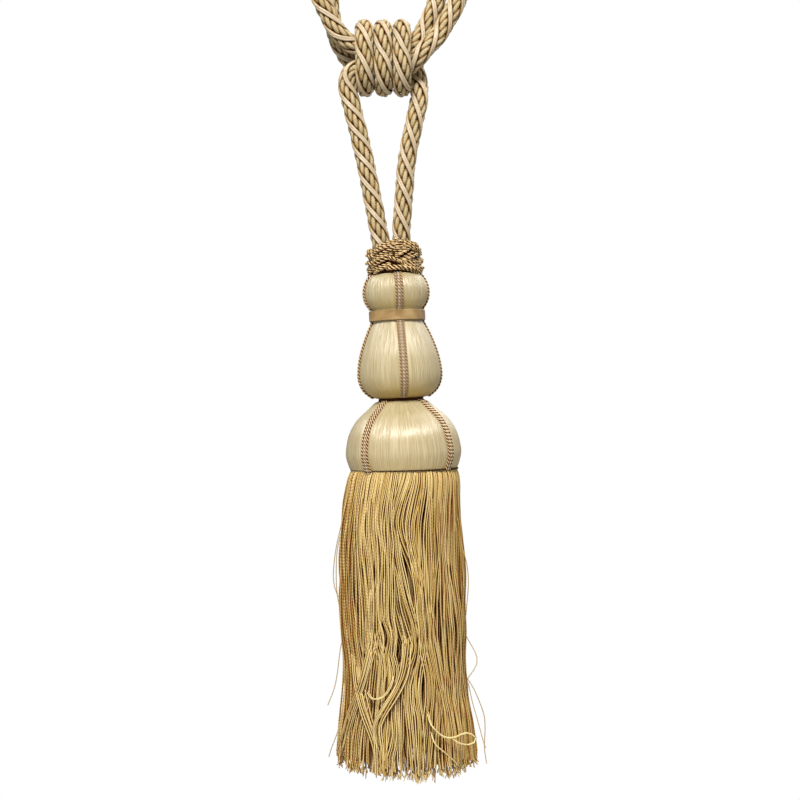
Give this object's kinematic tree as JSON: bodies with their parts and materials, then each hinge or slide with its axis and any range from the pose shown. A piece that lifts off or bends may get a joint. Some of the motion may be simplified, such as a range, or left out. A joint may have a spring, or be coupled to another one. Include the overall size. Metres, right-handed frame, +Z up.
{
  "type": "rope curtain tieback with a key tassel",
  "caption": "Rope curtain tieback: a twisted rope in two hook loops tied by a barrel knot, with a wound key tassel hanging from its legs and a long string skirt",
  "frame": {"origin": "the top of the hook's peg, inside the two rope loops that hang over it", "axes": "+Z up, the front faces -Y, +X to the right of the front"},
  "size_m": [0.0962, 0.0693, 0.8514],
  "materials": {
    "rope_yarn": "dull khaki ridged plies with bright cream satin strands between them",
    "bronze_cord": "twisted bronze-gold cord with a soft shine",
    "champagne_floss": "fine champagne floss wound upright, with a silky shine",
    "tan_thread": "tan satin thread wound flat",
    "skirt_string": "thin twisted gold-beige strings with a soft shine"
  },
  "bodies": {
    "root": {"rope": "rope_yarn", "ruff": "bronze_cord", "head": "champagne_floss", "waist_band": "tan_thread", "head_cord_1": "bronze_cord", "head_cord_2": "bronze_cord", "head_cord_3": "bronze_cord", "head_cord_4": "bronze_cord", "dome": "champagne_floss", "dome_cord_1": "bronze_cord", "dome_cord_2": "bronze_cord", "dome_cord_3": "bronze_cord", "dome_cord_4": "bronze_cord", "skirt": "skirt_string", "skirt_core": "skirt_string"}
  },
  "joints": []
}
